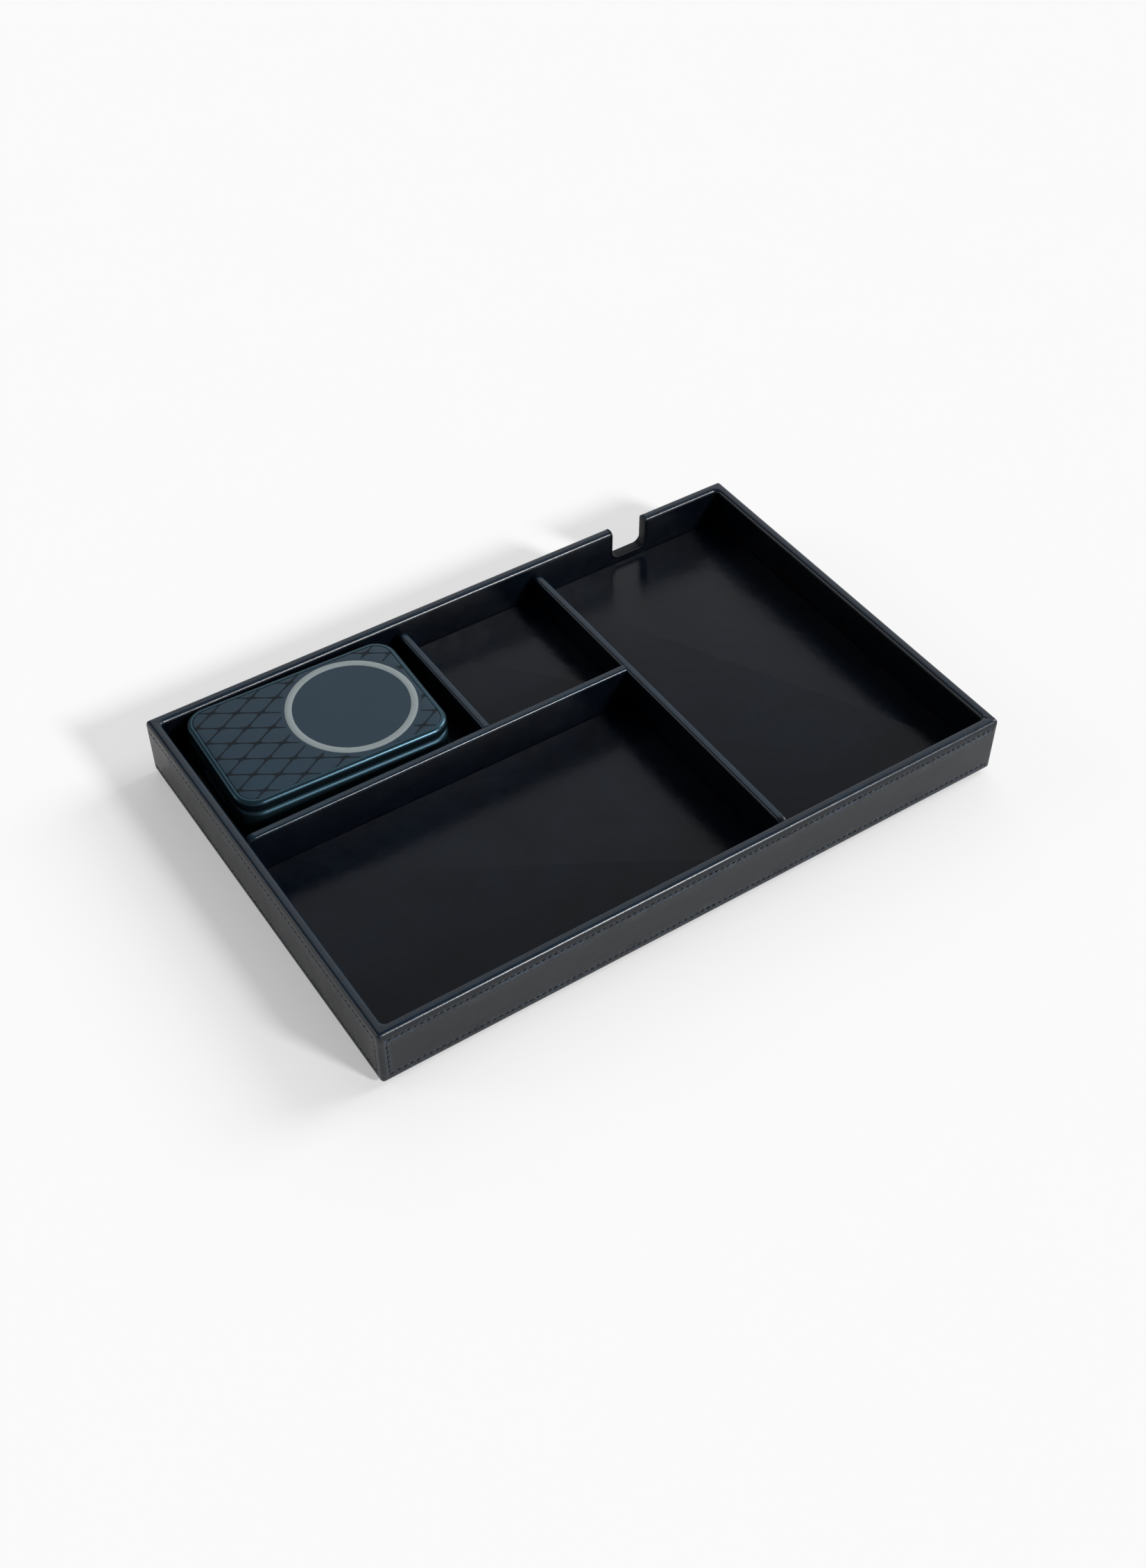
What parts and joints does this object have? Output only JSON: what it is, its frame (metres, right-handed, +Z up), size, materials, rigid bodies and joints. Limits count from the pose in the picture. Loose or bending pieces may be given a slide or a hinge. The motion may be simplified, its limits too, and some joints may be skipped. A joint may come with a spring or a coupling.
{
  "type": "wireless charging valet tray",
  "caption": "Low leather-covered desk tray with divided bays, a cable notch in its back wall, a built-in phone charger and a lift-out magnetic charging module.",
  "frame": {"origin": "middle of the footprint, on the surface the tray stands on", "axes": "+X along the length, +Y towards the wall with the cable notch, +Z up"},
  "size_m": [0.25, 0.165, 0.025],
  "materials": {
    "wall_leather": "smooth semi-matte navy leather with fine grain",
    "divider_leather": "smooth semi-matte navy leather with fine grain",
    "floor_leather": "smooth black leather with a soft sheen",
    "board": "plain grey board",
    "underside": "matte black sheet",
    "case_plastic": "matte black",
    "circuit_board": "green solder mask",
    "ferrite": "dark grey sheet",
    "coil_copper": "enamelled copper wire",
    "socket_steel": "nickel plated",
    "magnet": "nickel plated magnets",
    "battery": "silver pouch foil",
    "module_shell": "petrol blue satin anodised",
    "module_face": "smooth navy with a faint lattice",
    "module_ring": "pale grey inlay"
  },
  "bodies": {
    "tray": {"underside_panel": "underside", "base_board": "board", "wall_board_front": "board", "wall_board_back": "board", "wall_board_left": "board", "wall_board_right": "board", "wall_leather_front": "wall_leather", "wall_leather_back": "wall_leather", "wall_leather_left": "wall_leather", "wall_leather_right": "wall_leather", "notch_binding": "wall_leather", "floor_leather_front": "floor_leather", "floor_leather_left": "floor_leather", "floor_leather_middle": "floor_leather", "floor_leather_phone": "floor_leather", "floor_spacer_left": "board", "floor_spacer_middle": "board", "floor_spacer_phone": "board", "divider_board_row": "board", "divider_board_phone": "board", "divider_board_bay": "board", "divider_leather_row": "divider_leather", "divider_leather_phone": "divider_leather", "divider_leather_bay": "divider_leather", "transmitter_case": "case_plastic", "transmitter_lid": "case_plastic", "transmitter_board": "circuit_board", "transmitter_ferrite": "ferrite", "transmitter_coil": "coil_copper", "transmitter_socket": "socket_steel"},
    "charging_module": {"module_lower_shell": "module_shell", "module_upper_frame": "module_shell", "module_face_panel": "module_face", "module_ring": "module_ring", "module_ferrite": "ferrite", "module_coil": "coil_copper", "module_magnet_ring": "magnet", "module_battery": "battery", "module_board": "circuit_board", "module_socket": "socket_steel"}
  },
  "joints": [
    {"name": "module_lift", "type": "slide", "parent": "tray", "child": "charging_module", "axis": [0, 0, 1], "range_m": [0, 0.03]}
  ]
}
